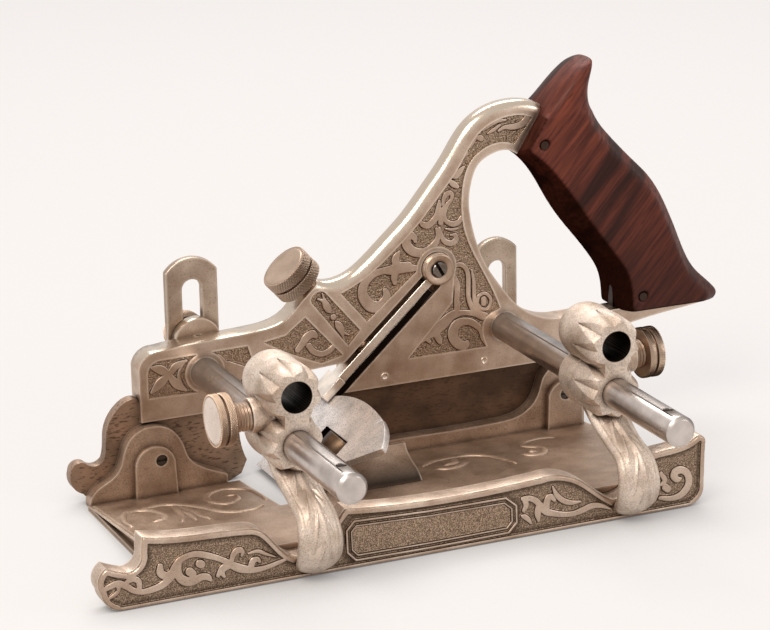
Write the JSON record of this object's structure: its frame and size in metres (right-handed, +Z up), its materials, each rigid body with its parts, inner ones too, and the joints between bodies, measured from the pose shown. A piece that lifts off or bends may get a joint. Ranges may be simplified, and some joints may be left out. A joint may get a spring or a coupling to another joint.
{
  "type": "plow and filletster plane with bull nose",
  "caption": "Cast plow and filletster plane with bull-nose skate, sliding fence on rods, slanted cutter, depth stops and rosewood tote.",
  "frame": {"origin": "middle of the plane's box, on the floor that its skate and bed stand on", "axes": "+X from the nose to the tote, -Y towards the fence's outer face, +Z up"},
  "size_m": [0.2484, 0.145, 0.126],
  "materials": {
    "nickelled_iron": "worn nickel plate on cast iron, satin",
    "dark_iron": "dark oiled iron",
    "worn_iron": "scratched iron with traces of nickel",
    "steel": "ground steel",
    "cutter_steel": "stippled tool steel",
    "lever_steel": "bright steel edges with dark sides",
    "dark_steel": "blackened steel",
    "aged_nickel": "aged nickel on brass, knurled edges",
    "aged_brass": "dark knurled brass",
    "rosewood": "satin rosewood with near-black stripes"
  },
  "bodies": {
    "stock": {"main_stock": "nickelled_iron", "rear_skate": "dark_iron", "nose_skate": "worn_iron", "nose_screws": "dark_steel", "skate_rivets": "worn_iron", "tote": "rosewood", "tote_pins": "dark_steel", "front_rod": "steel", "rear_rod": "steel", "filletster_bed": "nickelled_iron", "bed_screws": "dark_steel", "lever_screw": "dark_steel", "adjusting_stud": "dark_steel"},
    "fence_casting": {"fence": "nickelled_iron"},
    "front_thumbscrew": {"front_fence_screw": "aged_nickel"},
    "rear_thumbscrew": {"rear_fence_screw": "aged_nickel"},
    "blade": {"cutter": "cutter_steel"},
    "blade_nut": {"adjusting_nut": "aged_brass"},
    "lever": {"lever_cap": "lever_steel"},
    "cap": {"cap_screw": "aged_nickel"},
    "front_depth_stop": {"front_stop": "nickelled_iron"},
    "front_clamp": {"front_stop_screw": "aged_nickel", "front_stop_washer": "steel"},
    "rear_depth_stop": {"rear_stop": "nickelled_iron"},
    "rear_clamp": {"rear_stop_screw": "aged_nickel", "rear_stop_washer": "steel"}
  },
  "joints": [
    {"name": "fence_slide", "type": "slide", "parent": "stock", "child": "fence_casting", "axis": [0, -1, 0], "range_m": [0, 0.03]},
    {"name": "front_fence_screw_turn", "type": "hinge", "parent": "fence_casting", "child": "front_thumbscrew", "pos_m": [-0.07596, -0.0205, 0.04555], "axis": [-1, 0, 0], "range_deg": [0, 270]},
    {"name": "rear_fence_screw_turn", "type": "hinge", "parent": "fence_casting", "child": "rear_thumbscrew", "pos_m": [0.06002, -0.0205, 0.04555], "axis": [1, 0, 0], "range_deg": [0, 270]},
    {"name": "cutter_slide", "type": "slide", "parent": "stock", "child": "blade", "axis": [0.7431, 0, 0.6691], "range_m": [-0.0004, 0.0018]},
    {"name": "adjusting_nut_turn", "type": "hinge", "parent": "blade", "child": "blade_nut", "pos_m": [-0.02024, 0.0285, 0.01066], "axis": [0.7431, 0, 0.6691], "range_deg": [-121, 541]},
    {"name": "cap_screw_lift", "type": "slide", "parent": "stock", "child": "cap", "axis": [-0.6691, 0, 0.7431], "range_m": [0, 0.0014]},
    {"name": "lever_lift", "type": "hinge", "parent": "stock", "child": "lever", "pos_m": [0.02143, 0.0475, 0.06137], "axis": [0, 1, 0], "range_deg": [0, 2.4]},
    {"name": "front_stop_slide", "type": "slide", "parent": "stock", "child": "front_depth_stop", "axis": [0, 0, 1], "range_m": [-0.0095, 0.0095]},
    {"name": "front_stop_screw_turn", "type": "hinge", "parent": "stock", "child": "front_clamp", "pos_m": [-0.05826, 0.0585, 0.046], "axis": [0, 1, 0], "range_deg": [0, 270]},
    {"name": "rear_stop_slide", "type": "slide", "parent": "stock", "child": "rear_depth_stop", "axis": [0, 0, 1], "range_m": [-0.0095, 0.007]},
    {"name": "rear_stop_screw_turn", "type": "hinge", "parent": "stock", "child": "rear_clamp", "pos_m": [0.04852, 0.0585, 0.0285], "axis": [0, 1, 0], "range_deg": [0, 270]}
  ],
  "couplings": [
    {"joint": "adjusting_nut_turn", "follows": "cutter_slide", "rad_per_m": 5236},
    {"joint": "lever_lift", "follows": "cap_screw_lift", "rad_per_m": 29.498}
  ]
}
